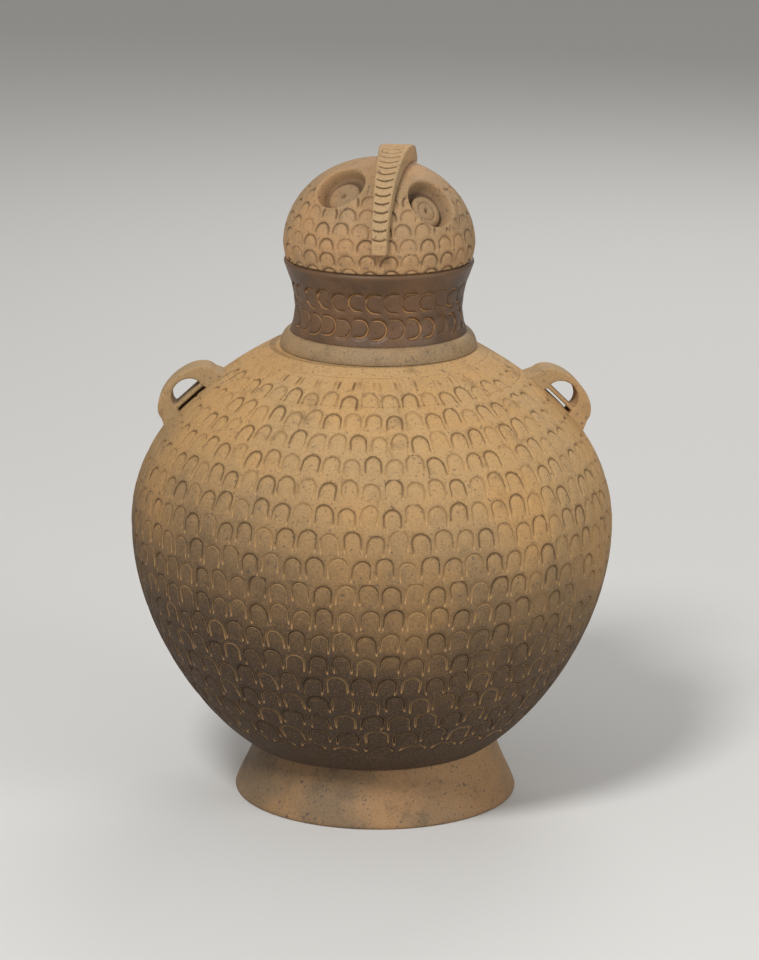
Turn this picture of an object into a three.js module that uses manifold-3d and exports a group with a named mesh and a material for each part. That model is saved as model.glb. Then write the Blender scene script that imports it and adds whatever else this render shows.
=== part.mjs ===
// Owl-shaped jar: a stamped earthenware jar with two loop lugs and a lid shaped as an owl's head.
// Millimetres, +Z up, origin on the floor under the middle of the belly. The owl faces -Y.
import * as THREE from 'three';
import { mergeVertices } from 'three/addons/utils/BufferGeometryUtils.js';
import Module from 'manifold-3d';

const wasm = await Module();
wasm.setup();

// Driving dimensions.
const lutingGap = 0.3;          // slip joint between pieces that meet on a curved face
const segments = 48;            // facets round the jar
const curveSteps = 9;           // facets along each half of the belly
const axisShift = 2.8;          // foot, neck and lid stand this far to the right of the belly
const potWall = 7;
const footRadius = 74.7;
const footWall = 9;
const footLip = 1.2;
const footHeight = 29.5;
const bellyFootRadius = 66;     // flat underside of the belly, on the foot
const floorThickness = 8;
const girthRadius = 126.4;
const girthHeight = 147;
const shoulderHeight = 240.5;
const collarRadius = 51.3;
const collarTopRadius = 47.4;
const collarHeight = 8.5;
const neckRadius = 43.4;
const neckRootRadius = 46.2;
const neckWaistRise = 20.5;     // narrowest part of the neck above the shoulder
const neckHeight = 46.5;
const neckRimRadius = 49.3;
const neckWall = 6;
const lidRadius = 49.8;
const lidHeight = 52.2;
const lidDropHeight = 7.5;      // widest part of the lid above its lower edge
const lidEdgeInset = 1.2;
const lidWall = 11.5;
const flangeDrop = 8;
const flangeWall = 4.5;
const flangeClearance = 4;
const lugChord = 38;
const lugRise = 11.3;
const lugWidth = 16;
const lugHoleChord = 18;
const lugHoleRise = 8;
const lugBarThickness = 2;
const lugBarGap = 1.2;
const lugFootDepth = 12;
const lugStationRadius = 94;    // where the lugs stand on the shoulder
const rightLugTurn = THREE.MathUtils.degToRad(8);
const rightLugStationRadius = 97;
const socketRadius = 12.2;
const socketDepth = 8;
const pelletRadius = 8.8;
const pelletHeight = 3.6;
const pelletOffset = 2.6;       // pellets sit low in their sockets, towards the beak
const leftEyeTurn = THREE.MathUtils.degToRad(-39);
const leftEyeRise = THREE.MathUtils.degToRad(46.5);
const rightEyeTurn = THREE.MathUtils.degToRad(42.5);
const rightEyeRise = THREE.MathUtils.degToRad(34);
const crestRise = 8;            // strip above the crown
const beakRise = 5;             // strip in front of the dome, at its tip
const crestWidth = 17;          // at the crown
const beakWidth = 8.6;          // at the tip
const crestShift = 8.4;         // strip stands right of the lid's axis at the crown
const beakShift = 0.5;          // and almost on it at the tip
const crestBack = 12;           // how far the strip runs behind the crown
const crestEndShare = 0.2;      // share of its length in which its back end rounds off
const beakTipRise = 11.5;       // tip above the lid's lower edge

const seatHeight = shoulderHeight + neckHeight;

// Fired clay finishes.
const clay = (color, roughness) => new THREE.MeshStandardMaterial({ color, roughness, metalness: 0 });
const bodyClay = clay(0x8d6b45, 0.8);
const lowerClay = clay(0x5f4a38, 0.75);
const neckClay = clay(0x4a3a2c, 0.6);
const lidClay = clay(0x9a7049, 0.8);
const footClay = clay(0x64503d, 0.7);

// Closed solid in and out of the cutting library.
function toSolid(geometry) {
  const bare = geometry.clone();
  bare.deleteAttribute('normal');
  bare.deleteAttribute('uv');
  const merged = mergeVertices(bare, 1e-4);
  return new wasm.Manifold(new wasm.Mesh({
    numProp: 3,
    vertProperties: new Float32Array(merged.attributes.position.array),
    triVerts: new Uint32Array(merged.index.array),
  }));
}

function toGeometry(solid) {
  const mesh = solid.getMesh();
  const geometry = new THREE.BufferGeometry();
  geometry.setAttribute('position', new THREE.BufferAttribute(mesh.vertProperties, 3));
  geometry.setIndex(new THREE.BufferAttribute(mesh.triVerts, 1));
  return geometry;
}

// Turns a profile of (radius, height) points about +Z.
function turned(profile) {
  return new THREE.LatheGeometry(profile, segments).rotateX(Math.PI / 2);
}

function closedTurned(profile) {
  return turned([...profile, profile[0].clone()]);
}

const at = (radius, height) => new THREE.Vector2(radius, height);

// Outer outline of the belly, below and above the girth.
function lowerOutline(offset = 0) {
  const rise = girthHeight - footHeight;
  const reach = girthRadius - bellyFootRadius;
  return new THREE.CubicBezierCurve(
    at(bellyFootRadius + offset, footHeight),
    at(bellyFootRadius + reach * 0.48 + offset, footHeight + rise * 0.17),
    at(girthRadius + offset, girthHeight - rise * 0.42),
    at(girthRadius + offset, girthHeight),
  );
}

function upperOutline(offset = 0) {
  const rise = shoulderHeight - girthHeight;
  const topRadius = collarRadius + axisShift;
  const reach = girthRadius - topRadius;
  return new THREE.CubicBezierCurve(
    at(girthRadius + offset, girthHeight),
    at(girthRadius + offset, girthHeight + rise * 0.4),
    at(topRadius + reach * 0.62, girthHeight + rise * 0.74 + offset),
    at(topRadius, shoulderHeight + offset),
  );
}

// Height of the shoulder at a radius, with the slope of its outline there.
function shoulderAt(radius) {
  const outline = upperOutline();
  let low = 0;
  let high = 1;
  for (let step = 0; step < 40; step += 1) {
    const middle = (low + high) / 2;
    if (outline.getPoint(middle).x > radius) low = middle;
    else high = middle;
  }
  return { point: outline.getPoint(low), tangent: outline.getTangent(low) };
}

function footRing() {
  const outer = new THREE.CubicBezierCurve(
    at(footRadius, footLip),
    at(footRadius - 2, footHeight * 0.27),
    at(bellyFootRadius, footHeight * 0.6),
    at(bellyFootRadius - axisShift, footHeight),
  ).getPoints(6);
  const inner = outer.map((point) => at(point.x - footWall, point.y)).reverse();
  return closedTurned([at(footRadius, 0), ...outer, ...inner, at(footRadius - footWall, 0)]);
}

function bellyLower() {
  const outer = lowerOutline().getPoints(curveSteps);
  const inner = lowerOutline(-potWall).getPoints(curveSteps)
    .filter((point) => point.y > footHeight + floorThickness + 1).reverse();
  const floorRadius = inner[inner.length - 1].x - potWall;
  return turned([
    at(0, footHeight), ...outer, ...inner,
    at(floorRadius, footHeight + floorThickness), at(0, footHeight + floorThickness),
  ]);
}

function bellyUpper() {
  const mouthRadius = neckRadius - neckWall;
  const outer = upperOutline().getPoints(curveSteps);
  const inner = upperOutline(-potWall).getPoints(curveSteps).reverse();
  const throat = [at(mouthRadius, shoulderHeight), at(mouthRadius, shoulderHeight - potWall)];
  return closedTurned([...outer, ...throat, ...inner]);
}

function neckOutline(offset) {
  return new THREE.SplineCurve([
    at(neckRootRadius - 0.4, shoulderHeight + collarHeight),
    at(neckRadius, shoulderHeight + neckWaistRise),
    at((neckRadius + neckRimRadius) / 2 - 0.8, shoulderHeight + neckHeight * 0.74),
    at(neckRimRadius, seatHeight - 1),
  ]).getPoints(9).map((point) => at(point.x + offset, point.y));
}

function neck() {
  const inner = neckOutline(-neckWall).reverse();
  return closedTurned([
    at(neckRootRadius, shoulderHeight), at(neckRootRadius, shoulderHeight + collarHeight - 1),
    ...neckOutline(0), at(neckRimRadius - 1, seatHeight), at(neckRimRadius - neckWall, seatHeight),
    ...inner, at(neckRadius - neckWall + 1, shoulderHeight),
  ]);
}

function collarBand() {
  const bore = neckRootRadius + lutingGap;
  return closedTurned([
    at(bore, shoulderHeight), at(collarRadius, shoulderHeight),
    at(collarRadius - 0.6, shoulderHeight + collarHeight * 0.4),
    at(collarTopRadius, shoulderHeight + collarHeight), at(bore, shoulderHeight + collarHeight),
  ]);
}

// A flat loop of clay bent over the shoulder, with a thin bar across its foot.
function lug(stationRadius, turn) {
  const half = lugChord / 2;
  const holeHalf = lugHoleChord / 2;
  const outline = new THREE.Shape();
  outline.moveTo(half + 1.5, -lugFootDepth);
  outline.lineTo(half, 0);
  outline.absellipse(0, 0, half, lugRise, 0, Math.PI, false, 0);
  outline.lineTo(-half - 1.5, -lugFootDepth);
  outline.lineTo(-holeHalf, -lugFootDepth);
  outline.lineTo(-holeHalf, -lugBarThickness);
  outline.lineTo(holeHalf, -lugBarThickness);
  outline.lineTo(holeHalf, -lugFootDepth);
  outline.closePath();
  const hole = new THREE.Path();
  hole.absellipse(0, 0, holeHalf, lugHoleRise, 0, Math.PI, false, 0);
  hole.closePath();
  outline.holes.push(hole);
  const strap = new THREE.ExtrudeGeometry(outline, { depth: lugWidth, bevelEnabled: false, curveSegments: 12 })
    .translate(0, 0, -lugWidth / 2);

  const { point, tangent } = shoulderAt(stationRadius);
  const lift = lugBarThickness + lugBarGap;
  const normal = new THREE.Vector3(tangent.y, 0, -tangent.x);
  const along = new THREE.Vector3(tangent.x, 0, tangent.y);
  const across = new THREE.Vector3().crossVectors(along, normal);
  const place = new THREE.Matrix4().makeBasis(along, normal, across);
  place.setPosition(point.x + normal.x * lift, 0, point.y + normal.z * lift);
  strap.applyMatrix4(place).rotateZ(turn);
  return toGeometry(toSolid(strap).subtract(toSolid(turned([
    at(0, girthHeight), ...upperOutline(lutingGap).getPoints(curveSteps * 2), at(0, shoulderHeight + lutingGap),
  ]))));
}

// Outer outline of the lid: a short under-curve, then a quarter of an ellipse.
function lidOutline(offset) {
  const widest = seatHeight + lidDropHeight;
  const radius = lidRadius + offset;
  const rise = lidHeight - lidDropHeight + offset;
  const points = [at(radius - lidEdgeInset, seatHeight)];
  const steps = 10;
  for (let step = 0; step <= steps; step += 1) {
    const angle = (step / steps) * (Math.PI / 2);
    points.push(at(step === steps ? 0 : radius * Math.cos(angle), widest + rise * Math.sin(angle)));
  }
  return points;
}

// Frame at an eye: its axis runs out of the dome through the pellet.
function eyePlace(turn, rise) {
  const out = new THREE.Vector3(
    Math.sin(turn) * Math.cos(rise), -Math.cos(turn) * Math.cos(rise), Math.sin(rise),
  );
  const middle = seatHeight + lidDropHeight;
  const domeRise = lidHeight - lidDropHeight;
  const reach = 1 / Math.hypot(Math.cos(rise) / lidRadius, Math.sin(rise) / domeRise);
  return { out, middle, reach };
}

// A disc on an eye's axis, or moved off it in the disc's own plane, forwards and down.
function disc(turn, rise, radius, from, to, offset = 0) {
  const { out, middle } = eyePlace(turn, rise);
  const aside = new THREE.Vector3(0, -1, -1).projectOnPlane(out).setLength(1).multiplyScalar(offset);
  const geometry = new THREE.CylinderGeometry(radius, radius, to - from, 24);
  geometry.applyQuaternion(new THREE.Quaternion().setFromUnitVectors(new THREE.Vector3(0, 1, 0), out));
  const distance = (from + to) / 2;
  return geometry.translate(
    out.x * distance + aside.x, out.y * distance + aside.y, middle + out.z * distance + aside.z,
  );
}

function socketFloor(turn, rise) {
  return eyePlace(turn, rise).reach - socketDepth;
}

function lidDome() {
  const inner = lidOutline(-lidWall).reverse();
  let solid = toSolid(turned([...lidOutline(0).reverse(), ...inner.reverse()].reverse()));
  for (const [turn, rise] of [[leftEyeTurn, leftEyeRise], [rightEyeTurn, rightEyeRise]]) {
    const floor = socketFloor(turn, rise);
    solid = solid.subtract(toSolid(disc(turn, rise, socketRadius, floor, floor + socketDepth * 3)));
  }
  return toGeometry(solid);
}

function lidFlange() {
  const outer = neckRimRadius - neckWall - flangeClearance;
  return closedTurned([
    at(outer - flangeWall, seatHeight - flangeDrop), at(outer, seatHeight - flangeDrop),
    at(outer, seatHeight), at(outer - flangeWall, seatHeight),
  ]);
}

function eyePellet(turn, rise) {
  const from = socketFloor(turn, rise) + lutingGap;
  return disc(turn, rise, pelletRadius, from, from + pelletHeight, pelletOffset);
}

// The raised strip that runs from the crown down to the squared beak.
function beakCrest() {
  const widest = seatHeight + lidDropHeight;
  const domeRise = lidHeight - lidDropHeight;
  const tipHeight = beakTipRise - lidDropHeight;
  const tipAngle = Math.asin(tipHeight / (domeRise + beakRise));
  const backAngle = Math.PI / 2 + Math.asin(crestBack / lidRadius);
  const outline = new THREE.Shape();
  const steps = 15;
  const onDome = (angle, raise) => at(
    -(lidRadius + raise) * Math.cos(angle), widest + (domeRise + raise) * Math.sin(angle),
  );
  outline.moveTo(...onDome(tipAngle, -lidWall / 2).toArray());
  for (let step = 0; step <= steps; step += 1) {
    const share = step / steps;
    const beyond = Math.max(0, (share - (1 - crestEndShare)) / crestEndShare);
    const raise = (beakRise + (crestRise - beakRise) * share) * Math.sqrt(1 - beyond * beyond);
    outline.lineTo(...onDome(tipAngle + (backAngle - tipAngle) * share, raise).toArray());
  }
  outline.lineTo(...onDome(backAngle, -lidWall / 2).toArray());
  outline.closePath();
  const strip = new THREE.ExtrudeGeometry(outline, { depth: 1, bevelEnabled: false }).translate(0, 0, -0.5);
  const place = new THREE.Matrix4().makeBasis(
    new THREE.Vector3(0, 1, 0), new THREE.Vector3(0, 0, 1), new THREE.Vector3(1, 0, 0),
  );
  strip.applyMatrix4(place);
  const corners = strip.attributes.position;
  for (let index = 0; index < corners.count; index += 1) {
    const share = -corners.getY(index) / lidRadius;
    const width = crestWidth + (beakWidth - crestWidth) * share;
    const middle = crestShift + (beakShift - crestShift) * share;
    corners.setX(index, middle + corners.getX(index) * width);
  }
  const dome = toSolid(turned([at(0, seatHeight), ...lidOutline(lutingGap)]));
  return toGeometry(toSolid(strip).subtract(dome));
}

const jar = new THREE.Group();
const raisedParts = new THREE.Group();
raisedParts.position.x = axisShift;
jar.add(raisedParts);

function add(parent, name, geometry, material) {
  const mesh = new THREE.Mesh(geometry, material);
  mesh.name = name;
  parent.add(mesh);
}

add(raisedParts, 'foot_ring', footRing(), footClay);
add(jar, 'belly_lower', bellyLower(), lowerClay);
add(jar, 'belly_upper', bellyUpper(), bodyClay);
add(raisedParts, 'neck', neck(), neckClay);
add(raisedParts, 'collar_band', collarBand(), bodyClay);
add(jar, 'lug_left', lug(lugStationRadius, Math.PI), bodyClay);
add(jar, 'lug_right', lug(rightLugStationRadius, rightLugTurn), bodyClay);
add(raisedParts, 'lid_dome', lidDome(), lidClay);
add(raisedParts, 'lid_flange', lidFlange(), lidClay);
add(raisedParts, 'beak_crest', beakCrest(), lidClay);
add(raisedParts, 'eye_left', eyePellet(leftEyeTurn, leftEyeRise), lidClay);
add(raisedParts, 'eye_right', eyePellet(rightEyeTurn, rightEyeRise), lidClay);

export default jar;
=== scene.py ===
import math

import bmesh
import bpy
import numpy as np
from mathutils import Matrix, Vector


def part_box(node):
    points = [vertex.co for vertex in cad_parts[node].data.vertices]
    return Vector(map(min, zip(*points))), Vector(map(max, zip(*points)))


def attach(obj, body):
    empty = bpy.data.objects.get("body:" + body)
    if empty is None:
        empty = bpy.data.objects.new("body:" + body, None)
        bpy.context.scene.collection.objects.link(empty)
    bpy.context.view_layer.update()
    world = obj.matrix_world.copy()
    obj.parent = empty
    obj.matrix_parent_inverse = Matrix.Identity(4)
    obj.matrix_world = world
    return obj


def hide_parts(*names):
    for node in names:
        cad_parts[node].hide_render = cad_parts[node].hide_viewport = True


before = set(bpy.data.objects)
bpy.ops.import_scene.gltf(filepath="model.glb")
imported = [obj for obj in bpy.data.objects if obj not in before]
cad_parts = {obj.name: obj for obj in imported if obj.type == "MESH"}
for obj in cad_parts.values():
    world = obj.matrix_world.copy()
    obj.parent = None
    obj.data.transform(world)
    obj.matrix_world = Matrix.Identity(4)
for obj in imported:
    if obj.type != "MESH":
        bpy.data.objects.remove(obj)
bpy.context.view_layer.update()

# Camera and studio: a long lens looks down on the jar from a little above, at the photograph's angle.
# A pale plain floor runs back into a pale surround, and soft lamps stand upper left, right and behind.
MM = 0.001
camera_data = bpy.data.cameras.new("camera")
camera_data.lens = 146.9
camera_data.sensor_width = 36.0
camera = bpy.data.objects.new("camera", camera_data)
camera.location = (3.9 * MM, -1992 * MM, 686 * MM)
tilt = Matrix.Rotation(math.radians(90 - 14.58), 3, "X")
roll = Matrix.Rotation(math.radians(0.44), 3, "Z")
camera.rotation_euler = (tilt @ roll).to_euler()
bpy.context.scene.collection.objects.link(camera)
bpy.context.scene.camera = camera
bpy.context.scene.view_settings.view_transform = "Standard"

pale = (0.66, 0.65, 0.63)
world = bpy.data.worlds.new("studio")
world.use_nodes = True
world.node_tree.nodes["Background"].inputs[0].default_value = (*pale, 1)
world.node_tree.nodes["Background"].inputs[1].default_value = 0.5
bpy.context.scene.world = world


def add_lamp(name, place, size, watts):
    data = bpy.data.lights.new(name, "AREA")
    data.shape = "DISK"
    data.size = size
    data.energy = watts
    lamp = bpy.data.objects.new(name, data)
    lamp.location = place
    lamp.rotation_euler = (Vector((0, 0, 0.18)) - Vector(place)).to_track_quat("-Z", "Y").to_euler()
    bpy.context.scene.collection.objects.link(lamp)


add_lamp("key_lamp", (-0.62, -1.25, 1.75), 0.5, 31)
add_lamp("fill_lamp", (1.5, -1.1, 0.9), 1.0, 11)
add_lamp("back_lamp", (0.4, 1.6, 1.4), 1.2, 12)

floor_mesh = bpy.data.meshes.new("floor")
floor_mesh.from_pydata([(-6, -6, 0), (6, -6, 0), (6, 6, 0), (-6, 6, 0)], [], [(0, 1, 2, 3)])
floor = bpy.data.objects.new("floor", floor_mesh)
bpy.context.scene.collection.objects.link(floor)
floor_paint = bpy.data.materials.new("pale_floor")
floor_paint.use_nodes = True
floor_paint.node_tree.nodes["Principled BSDF"].inputs["Base Color"].default_value = (*pale, 1)
floor_paint.node_tree.nodes["Principled BSDF"].inputs["Roughness"].default_value = 0.9
floor_mesh.materials.append(floor_paint)


# Belly: two thick bowls of iron-rich clay, luted at the girth and pressed all over with a gouge's curved end.
# Each stamp is an arch with two legs that fade downwards, in rows round the pot, deepest at the arch.
girth_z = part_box("belly_upper")[0][2] / MM
shoulder_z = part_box("belly_upper")[1][2] / MM
girth_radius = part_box("belly_upper")[1][0] / MM
foot_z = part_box("belly_lower")[0][2] / MM
belly_foot_radius = 66.0
collar_radius = (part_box("collar_band")[1][0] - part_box("collar_band")[0][0]) / 2 / MM
axis_x = (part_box("neck")[1][0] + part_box("neck")[0][0]) / 2 / MM
pot_wall = 7.0
mouth_radius = 37.4
stamp_pitch = 11.3
row_pitch = 13.3
stamp_radius = 4.55
groove_width = 1.15
line_width = 0.72
groove_depth = 1.15
rows_to_shoulder = 9.1


class Value:
    """A node socket that takes part in Python expressions."""

    def __init__(self, tree, socket):
        self.tree = tree
        self.socket = socket

    def math(self, operation, *others):
        node = self.tree.nodes.new("ShaderNodeMath")
        node.operation = operation
        for index, item in enumerate((self, *others)):
            if isinstance(item, Value):
                self.tree.links.new(item.socket, node.inputs[index])
            else:
                node.inputs[index].default_value = item
        return Value(self.tree, node.outputs[0])

    def __add__(self, other):
        return self.math("ADD", other)

    __radd__ = __add__

    def __sub__(self, other):
        return self.math("SUBTRACT", other)

    def __rsub__(self, other):
        return self.math("MULTIPLY", -1.0).math("ADD", other)

    def __mul__(self, other):
        return self.math("MULTIPLY", other)

    __rmul__ = __mul__

    def __truediv__(self, other):
        return self.math("DIVIDE", other)

    def clamp(self):
        return self.math("MAXIMUM", 0.0).math("MINIMUM", 1.0)

    def smooth(self, low, high):
        share = ((self - low) / (high - low)).clamp()
        return share * share * (3.0 - 2.0 * share)


def add_node(tree, kind, settings=(), **inputs):
    """Adds a node, makes its settings first, then fills or links its sockets."""
    node = tree.nodes.new(kind)
    for key, value in dict(settings).items():
        setattr(node, key, value)
    for key, value in inputs.items():
        socket = node.inputs[key.replace("_", " ")]
        if isinstance(value, Value):
            tree.links.new(value.socket, socket)
        else:
            socket.default_value = value
    return node


def stamped_arches(turn, along, rows, count, phase=0.0, pitch=stamp_pitch, radius=stamp_radius,
                   width=groove_width, row_height=row_pitch, wander=1.15, stagger=0.5,
                   sideways=0.0, leg=0.52, lift=0.8):
    """Depth of the stamps, 0 to 1, from the turn round the pot and the distance along its outline."""
    row = (along / row_height).math("FLOOR")
    share = row / rows
    around = (count * (1.0 - 0.55 * share * share)).math("ROUND")
    shift = (row * 2.4 + phase).math("SINE") * stagger
    position = turn * around + shift
    cell = position.math("FLOOR").math("FLOORED_MODULO", around)
    seed = cell * 12.7 + row * 5.31
    across = (position.math("FRACT") - 0.5) * pitch + seed.math("SINE") * wander
    up = (along / row_height - row - 0.5) * row_height + (seed * 1.7).math("SINE") * wander
    if sideways:
        across, up = up, across * sideways
    across = across + up * (seed * 3.1).math("SINE") * 0.09 * wander
    arch = up.math("MAXIMUM", lift) - lift
    size = radius * (1.0 + (seed * 0.9).math("SINE") * 0.07)
    reach = (across * across * 1.06 + arch * arch).math("SQRT")
    away = (reach - size).math("ABSOLUTE")
    press = 0.8 + 0.2 * (seed * 2.3).math("SINE")
    cut = 1.0 - (away / width).clamp()
    inside = 1.0 - (reach / size).clamp()
    leg_end = -row_height * leg
    legs = 0.25 * up.smooth(leg_end, lift + radius * 0.8) + 0.75 * up.smooth(leg_end, leg_end * 0.35)
    hollow = inside.smooth(0.0, 0.35) * up.smooth(-3.0, 3.5) * 0.16
    return (cut * (2.0 - cut) * legs * press + hollow * press).clamp()


def bezier(points, steps):
    t = np.linspace(0, 1, steps + 1)[:, None]
    a, b, c, d = (np.array(p, float) for p in points)
    return a * (1 - t) ** 3 + 3 * b * t * (1 - t) ** 2 + 3 * c * t * t * (1 - t) + d * t ** 3


def even(points, count):
    """The same outline with evenly spaced points, and each point's distance along it."""
    steps = np.r_[0, np.cumsum(np.hypot(*np.diff(points, axis=0).T))]
    spots = np.linspace(0, steps[-1], count + 1)
    return np.c_[np.interp(spots, steps, points[:, 0]), np.interp(spots, steps, points[:, 1])], spots


def turned_mesh(name, outline, along, segments, centre_x=0.0, shape=None):
    """Turns a closed outline, or one that starts or ends on the axis, and keeps each point's distance along it."""
    angles = np.linspace(0, 2 * math.pi, segments, endpoint=False)
    radius, height = outline[:, 0][:, None], outline[:, 1][:, None]
    x = radius * np.sin(angles)
    y = -radius * np.cos(angles)
    z = height + 0 * angles
    if shape:
        x, y, z = shape(x, y, z)
    verts = np.stack([x + centre_x, y, z], axis=2).reshape(-1, 3) * MM
    rows = len(outline)
    on_axis = [i for i in (0, rows - 1) if outline[i, 0] < 1e-6]
    last = rows if not on_axis else rows - 1
    faces = []
    for i in range(last):
        j = (i + 1) % rows
        for k in range(segments):
            m = (k + 1) % segments
            faces.append((i * segments + k, i * segments + m, j * segments + m, j * segments + k))
    mesh = bpy.data.meshes.new(name)
    mesh.from_pydata(verts.tolist(), [], faces)
    attribute = mesh.attributes.new("along", "FLOAT", "POINT")
    attribute.data.foreach_set("value", np.repeat(along, segments).astype(np.float32))
    work = bmesh.new()
    work.from_mesh(mesh)
    bmesh.ops.remove_doubles(work, verts=work.verts, dist=1e-7)
    bmesh.ops.recalc_face_normals(work, faces=work.faces)
    work.to_mesh(mesh)
    work.free()
    outwards = np.empty(len(mesh.vertices) * 3, np.float32)
    mesh.vertex_normals.foreach_get("vector", outwards)
    places = np.empty(len(mesh.vertices) * 3, np.float32)
    mesh.vertices.foreach_get("co", places)
    outwards, places = outwards.reshape(-1, 3), places.reshape(-1, 3)
    at_girth = ((np.abs(places[:, 2] - girth_z * MM) < 1e-6)
                & (np.hypot(*places[:, :2].T) > (girth_radius - 1) * MM))
    outwards[at_girth] = places[at_girth] * (1, 1, 0) / (girth_radius * MM)
    attribute = mesh.attributes.new("outwards", "FLOAT_VECTOR", "POINT")
    attribute.data.foreach_set("vector", outwards.astype(np.float32).ravel())
    mesh.shade_smooth()
    mesh.set_sharp_from_angle(angle=math.radians(55))
    piece = bpy.data.objects.new(name, mesh)
    bpy.context.scene.collection.objects.link(piece)
    return piece


def turn_and_along(tree, centre_x, shader):
    """The turn round the axis, 0 to 1 from the back, and the stored distance along the outline."""
    if shader:
        place = tree.nodes.new("ShaderNodeTexCoord").outputs["Object"]
        stored = add_node(tree, "ShaderNodeAttribute", {"attribute_name": "along"}).outputs["Fac"]
    else:
        place = tree.nodes.new("GeometryNodeInputPosition").outputs[0]
        named = add_node(tree, "GeometryNodeInputNamedAttribute", {"data_type": "FLOAT"}, Name="along")
        stored = named.outputs["Attribute"]
    split = tree.nodes.new("ShaderNodeSeparateXYZ")
    tree.links.new(place, split.inputs[0])
    x = Value(tree, split.outputs[0]) - centre_x * MM
    y = Value(tree, split.outputs[1])
    turn = x.math("ARCTAN2", y * -1.0) / (2 * math.pi) + 0.5
    return turn, Value(tree, stored), Value(tree, place)


def belly_stamps(tree, shader):
    turn, along, place = turn_and_along(tree, 0.0, shader)
    depth = stamped_arches(turn, along, rows_to_shoulder, 68, width=line_width if shader else groove_width)
    bare = along.smooth(-114.0, -108.0) * (1.0 - along.smooth(113.0, 115.0))
    lines = 0.0
    for line in (117.0, 97.0):
        lines = lines + (1.0 - ((along - line).math("ABSOLUTE") / 0.7).clamp()) * 0.4
    return (depth * bare + lines).clamp(), place


def press_stamps(piece, pattern, depth, material, waviness=0.5):
    """Presses the stamps into the clay and gives it a hand-made unevenness."""
    tree = bpy.data.node_groups.new(piece.name + "_stamps", "GeometryNodeTree")
    tree.interface.new_socket("Clay", in_out="INPUT", socket_type="NodeSocketGeometry")
    depth_input = tree.interface.new_socket("Stamp depth", in_out="INPUT", socket_type="NodeSocketFloat")
    wave_input = tree.interface.new_socket("Unevenness", in_out="INPUT", socket_type="NodeSocketFloat")
    tree.interface.new_socket("Piece", in_out="OUTPUT", socket_type="NodeSocketGeometry")
    start = tree.nodes.new("NodeGroupInput")
    stamps, place = pattern(tree, False)
    noise = add_node(tree, "ShaderNodeTexNoise", Vector=place, Scale=28.0, Detail=3.0)
    uneven = (Value(tree, noise.outputs["Fac"]) - 0.5) * Value(tree, start.outputs["Unevenness"])
    offset = uneven - stamps * Value(tree, start.outputs["Stamp depth"])
    named = add_node(tree, "GeometryNodeInputNamedAttribute", {"data_type": "FLOAT"}, Name="along")
    outside = Value(tree, named.outputs["Attribute"]).math("GREATER_THAN", -900.0)
    push = add_node(tree, "ShaderNodeVectorMath", {"operation": "SCALE"}, Scale=offset * outside)
    direction = add_node(tree, "GeometryNodeInputNamedAttribute", {"data_type": "FLOAT_VECTOR"}, Name="outwards")
    tree.links.new(direction.outputs["Attribute"], push.inputs[0])
    move = tree.nodes.new("GeometryNodeSetPosition")
    tree.links.new(start.outputs["Clay"], move.inputs["Geometry"])
    tree.links.new(push.outputs[0], move.inputs["Offset"])
    real = tree.nodes.new("GeometryNodeRealizeInstances")
    tree.links.new(move.outputs[0], real.inputs[0])
    finish = add_node(tree, "GeometryNodeSetMaterial", Material=material)
    tree.links.new(real.outputs[0], finish.inputs["Geometry"])
    end = tree.nodes.new("NodeGroupOutput")
    tree.links.new(finish.outputs[0], end.inputs[0])
    modifier = piece.modifiers.new("stamps", "NODES")
    modifier.node_group = tree
    modifier[depth_input.identifier] = depth * MM
    modifier[wave_input.identifier] = waviness * MM
    pressed = bpy.data.meshes.new_from_object(piece.evaluated_get(bpy.context.evaluated_depsgraph_get()))
    piece.modifiers.clear()
    piece.data = pressed


def mix(tree, share, first, second):
    node = add_node(tree, "ShaderNodeMix", {"data_type": "RGBA"})
    for index, item in ((0, share), (6, first), (7, second)):
        if isinstance(item, Value):
            tree.links.new(item.socket, node.inputs[index])
        else:
            node.inputs[index].default_value = (*item, 1) if index else item
    return Value(tree, node.outputs[2])


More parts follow.
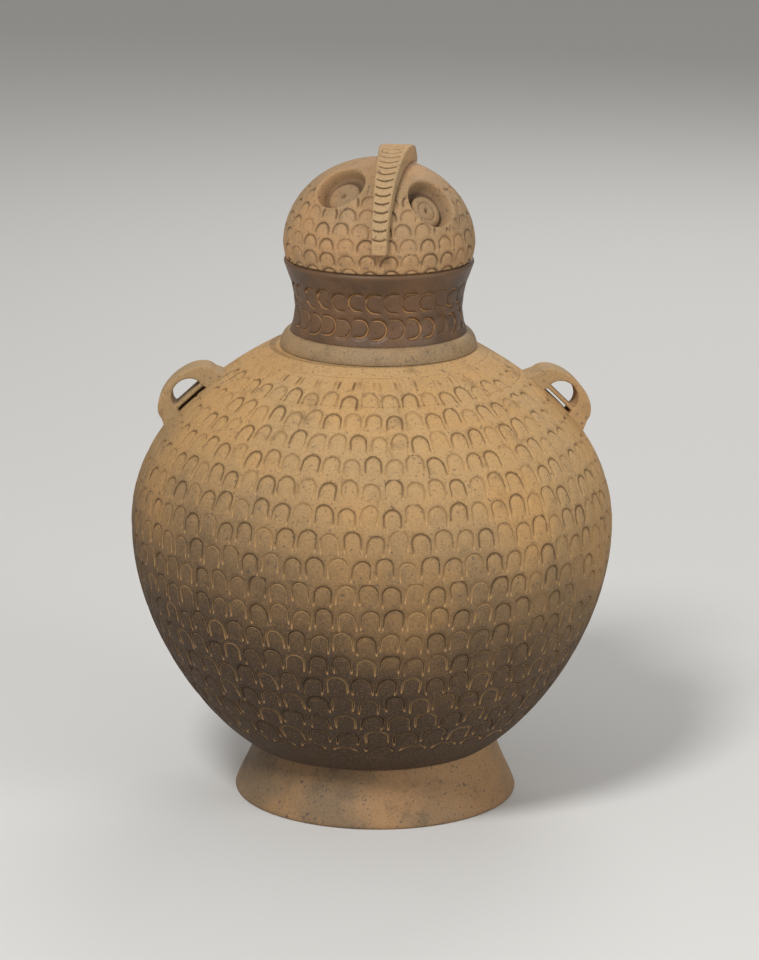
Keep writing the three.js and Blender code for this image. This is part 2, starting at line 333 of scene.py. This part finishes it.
def clay_finish(name, light, warm, dark, pattern=None, darken_low=None, rough=0.78, speckle=0.5, groove=0.5,
                edge_wear_and_highlight=0.35, groove_colour=None, stain_and_shade=None, stain_and_shade_colour=(0.08, 0.042, 0.022)):
    """Fired clay: warm and grey patches, dark specks, grooves darkened with painted shade unless given their own
    colour, and pale groove edges that are partly worn clay and partly painted highlight.
    """
    material = bpy.data.materials.new(name)
    material.use_nodes = True
    tree = material.node_tree
    shader = tree.nodes["Principled BSDF"]
    place = Value(tree, tree.nodes.new("ShaderNodeTexCoord").outputs["Object"])

    def noise(scale, detail=4.0, roughness=0.6):
        node = add_node(tree, "ShaderNodeTexNoise", Vector=place, Scale=scale, Detail=detail,
                        Roughness=roughness)
        return Value(tree, node.outputs["Fac"])

    patches = noise(13.0)
    mottle = noise(80.0, 6.0, 0.75)
    grain = noise(1100.0, 3.0, 0.7)
    specks = noise(520.0, 1.0, 0.4)
    split = tree.nodes.new("ShaderNodeSeparateXYZ")
    tree.links.new(place.socket, split.inputs[0])
    x, z = Value(tree, split.outputs[0]), Value(tree, split.outputs[2])
    colour = mix(tree, patches.smooth(0.38, 0.62), light, warm)
    colour = mix(tree, mottle.smooth(0.5, 0.75) * 0.45, colour, dark)
    # Darker towards the bottom of the piece and towards its left, along a wavering edge.
    if darken_low:
        low, high, side = darken_low
        level = z + x * side + (patches - 0.5) * 0.1 + (mottle - 0.5) * 0.07
        colour = mix(tree, 1.0 - level.smooth(low, high), colour, dark)
    colour = mix(tree, grain.smooth(0.5, 0.7) * 0.38, colour, tuple(c * 0.55 for c in dark))
    colour = mix(tree, (1.0 - grain).smooth(0.5, 0.75) * 0.3, colour, tuple(min(1.0, c * 1.2) for c in warm))
    colour = mix(tree, specks.smooth(0.66, 0.73) * speckle, colour, (0.05, 0.05, 0.055))
    height = (mottle - 0.5) * 0.4 + (grain - 0.5) * 0.22
    if pattern:
        stamps, _ = pattern(tree, True)
        # Pale groove edges: partly rubbed clay showing the warm body, partly painted highlight where light catches
        # the groove walls.
        edge = stamps.smooth(0.14, 0.26) * (1.0 - stamps.smooth(0.34, 0.65))
        colour = mix(tree, edge * edge_wear_and_highlight, colour, tuple(min(1.0, c * 1.15) for c in warm))
        # Painted shade darkens the grooves unless a groove colour is given; the neck's pale orange lines are the
        # clay's own colour.
        colour = mix(tree, stamps.smooth(0.35, 0.9) * groove, colour,
                     groove_colour or tuple(c * 0.3 for c in dark))
        height = height - stamps * 1.3
    # The optional mask mixes in a colour of its own: the neck's pale lip is the clay's own colour, and the default
    # dark colour is painted shade for the lid's eye sockets.
    if stain_and_shade:
        colour = mix(tree, (stain_and_shade(tree) * (0.6 + mottle * 0.6)).clamp(), colour, stain_and_shade_colour)
    tree.links.new(colour.socket, shader.inputs["Base Color"])
    tree.links.new((rough + (mottle - 0.5) * 0.3).socket, shader.inputs["Roughness"])
    shader.inputs["Specular IOR Level"].default_value = 0.35
    bump = add_node(tree, "ShaderNodeBump", Strength=0.75, Distance=0.0009, Height=height)
    tree.links.new(bump.outputs[0], shader.inputs["Normal"])
    return material


tan = (0.47, 0.3, 0.138)
orange = (0.49, 0.285, 0.113)
umber = (0.062, 0.037, 0.021)
belly_clay = clay_finish("stamped_belly_clay", tan, orange, umber, belly_stamps,
                         darken_low=(0.08, 0.22, 0.2), edge_wear_and_highlight=0.6)

belly_segments = 640
rise_up = shoulder_z - girth_z
top_radius = collar_radius + axis_x
reach_up = girth_radius - top_radius
upper_line, upper_along = even(bezier([
    (girth_radius, girth_z), (girth_radius, girth_z + rise_up * 0.4),
    (top_radius + reach_up * 0.62, girth_z + rise_up * 0.74), (top_radius, shoulder_z)], 200), 112)
rise_low = girth_z - foot_z
reach_low = girth_radius - belly_foot_radius
lower_line, lower_along = even(bezier([
    (belly_foot_radius, foot_z), (belly_foot_radius + reach_low * 0.48, foot_z + rise_low * 0.17),
    (girth_radius, girth_z - rise_low * 0.42), (girth_radius, girth_z)], 200), 112)
lower_along = lower_along - lower_along[-1]
inside = -1000.0


def inner_wall(line, steps):
    tangent = np.gradient(line, axis=0)
    tangent /= np.hypot(tangent[:, 0], tangent[:, 1])[:, None]
    wall = line - np.c_[tangent[:, 1], -tangent[:, 0]] * pot_wall
    return wall[np.linspace(0, len(wall) - 1, steps).astype(int)][::-1]


upper_inner = inner_wall(upper_line, 12)
upper_inner = upper_inner[(upper_inner[:, 0] > mouth_radius + 4) & (upper_inner[:, 1] > girth_z + 1)]
upper_outline = np.vstack([upper_line, [(mouth_radius, shoulder_z), (mouth_radius, shoulder_z - pot_wall)],
                           upper_inner, [(girth_radius - pot_wall, girth_z)]])
upper = turned_mesh("belly_upper_stamped", upper_outline,
                    np.r_[upper_along, [inside] * (len(upper_outline) - len(upper_line))], belly_segments)
lower_inner = inner_wall(lower_line, 14)
lower_inner = lower_inner[(lower_inner[:, 1] > foot_z + 9) & (lower_inner[:, 1] < girth_z - 1)]
lower_outline = np.vstack([[(0, foot_z)], lower_line, [(girth_radius - pot_wall, girth_z)], lower_inner,
                           [(lower_inner[-1, 0] - 8, foot_z + 8), (0, foot_z + 8)]])
lower = turned_mesh("belly_lower_stamped", lower_outline,
                    np.r_[inside, lower_along, [inside] * (len(lower_outline) - len(lower_line) - 1)],
                    belly_segments)
for piece, node, slot in ((upper, "belly_upper", "body_clay"), (lower, "belly_lower", "lower_clay")):
    press_stamps(piece, belly_stamps, groove_depth, belly_clay)
    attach(piece, "jar")
    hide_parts(node)


# Foot: a flared clay ring, turned and luted under the belly, smoothed with wet hands and worn at its edge.
# It fired darker than the belly, with a granular orange speckle on the right.
foot_radius = (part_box("foot_ring")[1][0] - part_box("foot_ring")[0][0]) / 2 / MM
foot_wall = 9.0
foot_clay = clay_finish("foot_clay", (0.2, 0.133, 0.074), (0.35, 0.2, 0.09), (0.06, 0.041, 0.025),
                        rough=0.62, speckle=0.7)
foot_line, _ = even(bezier([(foot_radius, 1.2), (foot_radius - 2, foot_z * 0.27),
                            (belly_foot_radius, foot_z * 0.6), (belly_foot_radius - axis_x, foot_z)], 80), 26)
foot_edge = np.array([(foot_radius - 0.9, 0.0), (foot_radius - 0.25, 0.3)])
foot_inner = foot_line[::-3] - (foot_wall, 0)
foot_outline = np.vstack([foot_edge, foot_line, foot_inner, [(foot_radius - foot_wall, 0.0)]])


def plain_surface(tree, shader):
    turn, along, place = turn_and_along(tree, axis_x, shader)
    return turn * 0.0, place


foot = turned_mesh("foot_ring_turned", foot_outline, np.r_[
    [-1000.0] * 2, [0.0] * (len(foot_line) - 2), [-1000.0] * (len(foot_outline) - len(foot_line))], 256, axis_x)
press_stamps(foot, plain_surface, 0.0, foot_clay, 0.8)
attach(foot, "jar")
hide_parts("foot_ring")


# Collar: a band of clay smoothed round the root of the neck, with a dark groove under it.
# It covers the joint where the neck was luted to the shoulder.
collar_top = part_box("collar_band")[1][2] / MM
collar_clay = clay_finish("collar_clay", (0.27, 0.188, 0.105), (0.36, 0.227, 0.109), umber, rough=0.7)
collar_line, _ = even(bezier([(collar_radius, shoulder_z + 0.4), (collar_radius + 0.2, shoulder_z + 3),
                              (collar_radius - 1.6, collar_top - 1), (47.4, collar_top)], 60), 14)
collar_bore = 45.9
collar_outline = np.vstack([[(collar_radius - 1.2, shoulder_z)], collar_line,
                            [(collar_bore, collar_top), (collar_bore, shoulder_z)]])
collar = turned_mesh("collar_band_smoothed", collar_outline,
                     np.r_[inside, [0.0] * len(collar_line), [inside] * 2], 256, axis_x)
press_stamps(collar, plain_surface, 0.0, collar_clay, 0.4)
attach(collar, "jar")
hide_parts("collar_band")


# Neck: a waisted clay tube with a rounded rim, stamped with two rows of curved marks laid on their sides.
# The upper row opens to the right and the lower row to the left, and the clay is dark with a slight sheen.
neck_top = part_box("neck")[1][2] / MM
neck_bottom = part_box("neck")[0][2] / MM
neck_waist = 43.4
neck_rim = (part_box("neck")[1][0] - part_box("neck")[0][0]) / 2 / MM
neck_wall = 6.0
neck_shape = np.array([(46.2, neck_bottom), (46.0, collar_top), (44.4, collar_top + 5),
                       (neck_waist, neck_bottom + 20.5),
                       (44.3, 269.3), (45.4, 274.7), (47.5, 280.3), (neck_rim, neck_top - 1.6),
                       (neck_rim, neck_top - 0.8), (neck_rim - 0.8, neck_top - 0.1)])
neck_line, neck_along = even(neck_shape, 52)
neck_inner = neck_line[::-5] - (neck_wall, 0)
neck_inner = neck_inner[neck_inner[:, 1] < neck_top - 1]
neck_outline = np.vstack([neck_line, [(neck_rim - 1.6, neck_top), (neck_rim - neck_wall, neck_top)], neck_inner])


def neck_lip(tree):
    return turn_and_along(tree, axis_x, True)[1].smooth(44.5, 46.5)


def neck_stamps(tree, shader):
    turn, along, place = turn_and_along(tree, axis_x, shader)
    row_height = 13.5
    total = 0.0
    for low, side in ((11.0, -1.0), (24.5, 1.0)):
        here = along.math("GREATER_THAN", low) * along.math("LESS_THAN", low + row_height)
        crescents = stamped_arches(turn, along - low, 1000.0, 30, phase=low, pitch=9.3, radius=4.9,
                                   width=0.7 if shader else 1.0, row_height=row_height, wander=0.35,
                                   sideways=-side, leg=0.32, lift=-0.5)
        total = total + crescents * here
    return total.clamp(), place


neck_clay = clay_finish("neck_clay", (0.074, 0.045, 0.026), (0.16, 0.084, 0.04), (0.024, 0.016, 0.011),
                        neck_stamps,
                        rough=0.46, groove=0.75, edge_wear_and_highlight=0.5, groove_colour=(0.46, 0.24, 0.09),
                        stain_and_shade=neck_lip, stain_and_shade_colour=(0.13, 0.07, 0.035))
neck = turned_mesh("neck_stamped", neck_outline, np.r_[
    inside, neck_along[1:-1], [inside] * (len(neck_outline) - len(neck_line) + 1)], 420, axis_x)
press_stamps(neck, neck_stamps, 1.1, neck_clay, 0.4)
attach(neck, "jar")
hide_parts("neck")


# Lugs: flat straps of clay bent into loops and pressed on the shoulder at both sides, for a carrying cord.
# Their edges are rounded with wet fingers, and their feet are smeared into the shoulder.
lug_clay = clay_finish("lug_clay", (0.37, 0.251, 0.126), (0.43, 0.261, 0.118), (0.11, 0.077, 0.046))


def softened(node, name, material, body, voxel, smoothing, sink=0.0):
    """A copy of a solid with rounded edges; what lies near the belly is sunk into it."""
    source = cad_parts[node]
    work = bmesh.new()
    work.from_mesh(source.data)
    bmesh.ops.remove_doubles(work, verts=work.verts, dist=1e-6)
    if sink:
        centre = sum((v.co for v in work.verts), Vector()) / len(work.verts)
        line = upper_line * MM
        for vert in work.verts:
            radius = math.hypot(vert.co.x, vert.co.y)
            distance = np.hypot(line[:, 0] - radius, line[:, 1] - vert.co.z)
            if distance.min() < 0.8 * MM:
                spread = (vert.co - centre) * 0.16
                inward = Vector((-vert.co.x / radius, -vert.co.y / radius, -0.9)).normalized()
                vert.co += spread + inward * sink * MM
    mesh = bpy.data.meshes.new(name)
    work.to_mesh(mesh)
    work.free()
    piece = bpy.data.objects.new(name, mesh)
    bpy.context.scene.collection.objects.link(piece)
    remesh = piece.modifiers.new("remesh", "REMESH")
    remesh.mode = "VOXEL"
    remesh.voxel_size = voxel * MM
    smooth = piece.modifiers.new("smooth", "SMOOTH")
    smooth.factor = 0.5
    smooth.iterations = smoothing
    soft = bpy.data.meshes.new_from_object(piece.evaluated_get(bpy.context.evaluated_depsgraph_get()))
    piece.modifiers.clear()
    piece.data = soft
    soft.materials.clear()
    soft.materials.append(material)
    soft.shade_smooth()
    outwards = np.empty(len(soft.vertices) * 3, np.float32)
    soft.vertex_normals.foreach_get("vector", outwards)
    soft.attributes.new("outwards", "FLOAT_VECTOR", "POINT").data.foreach_set("vector", outwards)
    soft.attributes.new("along", "FLOAT", "POINT")
    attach(piece, body)
    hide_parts(node)
    return piece


for lug in ("lug_left", "lug_right"):
    softened(lug, lug + "_strap", lug_clay, "jar", 0.55, 8, sink=2.5)


# Lid: a thick clay dome shaped as an owl's head, with two deep eye sockets and rows of pressed feathers.
# It rests loose on the neck rim, kept in place by a ring inside.
seat_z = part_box("lid_dome")[0][2] / MM
lid_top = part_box("lid_dome")[1][2] / MM
lid_radius = (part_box("lid_dome")[1][0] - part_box("lid_dome")[0][0]) / 2 / MM
widest_z = seat_z + 7.5
dome_rise = lid_top - widest_z
lid_wall = 11.5
socket_radius = 12.4
socket_depth = 8.3
eyes = ((math.radians(-39), math.radians(46.5)), (math.radians(42.5), math.radians(34)))


def eye_axis(turn, rise):
    return np.array([math.sin(turn) * math.cos(rise), -math.cos(turn) * math.cos(rise), math.sin(rise)])


def press_sockets(x, y, z):
    """Pushes the clay in along each eye's axis, with steep walls and a soft brow."""
    points = np.stack([x, y, z - widest_z], axis=2)
    moved = points.copy()
    for turn, rise in eyes:
        axis = eye_axis(turn, rise)
        height = points @ axis
        across = points - height[..., None] * axis
        distance = np.linalg.norm(across, axis=2)
        share = np.clip((socket_radius + 1.6 - distance) / 3.4, 0, 1)
        share = share * share * (3 - 2 * share)
        brow = np.exp(-((distance - socket_radius - 2.2) / 2.2) ** 2) * 0.8
        outer = (height > lid_radius * 0.6) & (np.linalg.norm(points, axis=2) > lid_radius - lid_wall * 0.55)
        target = 1 / math.hypot(math.cos(rise) / lid_radius, math.sin(rise) / dome_rise) - socket_depth
        floor = np.minimum(height, target)
        change = (floor - height) * share + brow
        moved += (change * outer)[..., None] * axis
    return moved[..., 0], moved[..., 1], moved[..., 2] + widest_z


def dome_line(offset, steps):
    angle = np.linspace(0, math.pi / 2, steps)
    return np.c_[(lid_radius + offset) * np.cos(angle), widest_z + (dome_rise + offset) * np.sin(angle)]


lid_line, lid_along = even(np.vstack([[(lid_radius - 1.2, seat_z + 0.8)], dome_line(0, 120)]), 96)
lid_line[-1, 0] = 0
lid_inner = dome_line(-lid_wall, 16)[::-1]
lid_inner[0, 0] = 0
lid_outline = np.vstack([lid_line[::-1], [(lid_radius - 2.2, seat_z), (37.1, seat_z)], lid_inner[::-1]])


def socket_share(tree, low, high, shader=True):
    """1 in the eye sockets and 0 outside them."""
    place = turn_and_along(tree, axis_x, shader)[2]
    split = tree.nodes.new("ShaderNodeSeparateXYZ")
    tree.links.new(place.socket, split.inputs[0])
    x, y, z = (Value(tree, output) / MM for output in split.outputs)
    x, z = x - axis_x, z - widest_z
    total = 0.0
    for turn, rise in eyes:
        ax, ay, az = (float(part) for part in eye_axis(turn, rise))
        height = x * ax + y * ay + z * az
        distance = (x * x + y * y + z * z - height * height).math("SQRT")
        total = total + (1.0 - distance.smooth(low, high)) * height.math("GREATER_THAN", 0.0)
    return total.clamp()


def lid_feathers(tree, shader):
    turn, along, place = turn_and_along(tree, axis_x, shader)
    feathers = stamped_arches(turn, along - 2.0, 7.5, 28, pitch=11.2, radius=4.5, width=0.7 if shader else 1.0,
                              row_height=8.0, wander=0.35, stagger=0.12, leg=0.55, lift=-1.1)
    clear = 1.0 - socket_share(tree, socket_radius + 1.5, socket_radius + 2.5, shader)
    return (feathers * (1.0 - along.smooth(41.0, 47.0)) * clear).clamp(), place


# Painted shade: the mask that darkens the deep eye sockets.
def socket_painted_shade(tree):
    return socket_share(tree, socket_radius - 4.0, socket_radius + 1.5)


lid_clay = clay_finish("lid_clay", (0.34, 0.222, 0.114), (0.44, 0.251, 0.114), (0.12, 0.073, 0.04), lid_feathers,
                       rough=0.72, stain_and_shade=socket_painted_shade)
lid = turned_mesh("lid_dome_pressed", lid_outline, np.r_[
    lid_along[::-1], [inside] * (len(lid_outline) - len(lid_line))], 400, axis_x, press_sockets)
press_stamps(lid, lid_feathers, 0.9, lid_clay, 0.5)
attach(lid, "lid")
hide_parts("lid_dome")

# Lid ring: a plain ring luted inside the lid, which drops into the neck and keeps the lid from sliding off.
# It is hidden when the lid is on, so it takes the plain finish of the collar's clay.
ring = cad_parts["lid_flange"]
for slot_index in range(len(ring.material_slots)):
    ring.material_slots[slot_index].material = collar_clay


# Crest and beak: one strip of clay laid from the crown down the brow, squared off at its tip.
# It stands proud of the dome and overhangs it at the beak, with small crescents pressed along it.
crest_shift = 8.4
beak_shift = 0.5
crescent_pitch = 4.4


def crest_crescents(tree, shader):
    place = turn_and_along(tree, axis_x, shader)[2]
    split = tree.nodes.new("ShaderNodeSeparateXYZ")
    tree.links.new(place.socket, split.inputs[0])
    x, y, z = (Value(tree, output) / MM for output in split.outputs)
    share = y / -lid_radius
    across = x - axis_x - (crest_shift + (beak_shift - crest_shift) * share)
    arc = (z - widest_z).math("ARCTAN2", y * -1.0) * lid_radius
    up = ((arc / crescent_pitch).math("FRACT") - 0.35) * crescent_pitch - across * across * 0.075
    line = 1.0 - (up.math("ABSOLUTE") / (0.5 if shader else 0.75)).clamp()
    half = 4.0 + 2.6 * (1.0 - share).clamp()
    inner = 1.0 - (across.math("ABSOLUTE") - half).smooth(-0.9, 0.0)
    return line * inner * arc.smooth(9.0, 10.0), place


crest_clay = clay_finish("crest_clay", (0.4, 0.275, 0.143), (0.45, 0.27, 0.126), (0.13, 0.085, 0.046),
                         crest_crescents, rough=0.7)
crest = softened("beak_crest", "crest_and_beak", crest_clay, "lid", 0.5, 26)
press_stamps(crest, crest_crescents, 0.8, crest_clay, 0.5)


# Eyes: two flat clay pellets pressed on the socket floors, each with a small hole for its pupil.
# The rims are rounded, and the right one has a ring pressed round its pupil.
eye_clay = clay_finish("eye_clay", (0.3, 0.198, 0.105), (0.37, 0.212, 0.101), (0.12, 0.077, 0.042), rough=0.72)
pellet_radius = 8.8
pellet_height = 3.4
pellet_offset = 2.6
for side, (turn, rise) in zip(("eye_left", "eye_right"), eyes):
    axis = eye_axis(turn, rise)
    floor_distance = 1 / math.hypot(math.cos(rise) / lid_radius, math.sin(rise) / dome_rise) - 8.0
    ring_dip = 0.7 if side == "eye_right" else 0.0
    radii = np.array([0, 0.7, 1.2, 1.7, 2.6, 4.2, 4.9, 5.6, 6.6, 7.6, 8.3, 8.7, 8.8, 8.6, 7.5, 0])
    heights = np.array([1.2, 1.3, 2.4, 3.3, 3.4, 3.4, 3.4 - ring_dip, 3.4, 3.3, 3.0, 2.5, 1.8, 1.0,
                        0.2, -0.8, -0.8])
    pellet_outline = np.c_[radii * pellet_radius / 8.8, heights * pellet_height / 3.4]
    pellet = turned_mesh(side + "_pellet", pellet_outline, [0.0] * len(radii), 48)
    spin = Vector((0, 0, 1)).rotation_difference(Vector(axis)).to_matrix()
    down = Vector((0, -1, -1))
    aside = (down - Vector(axis) * down.dot(Vector(axis))).normalized() * pellet_offset
    centre = (Vector((axis_x, 0, widest_z)) + Vector(axis) * floor_distance + aside) * MM
    for vert in pellet.data.vertices:
        vert.co = spin @ vert.co + centre
    pellet.data.materials.append(eye_clay)
    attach(pellet, "lid")
    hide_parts(side)
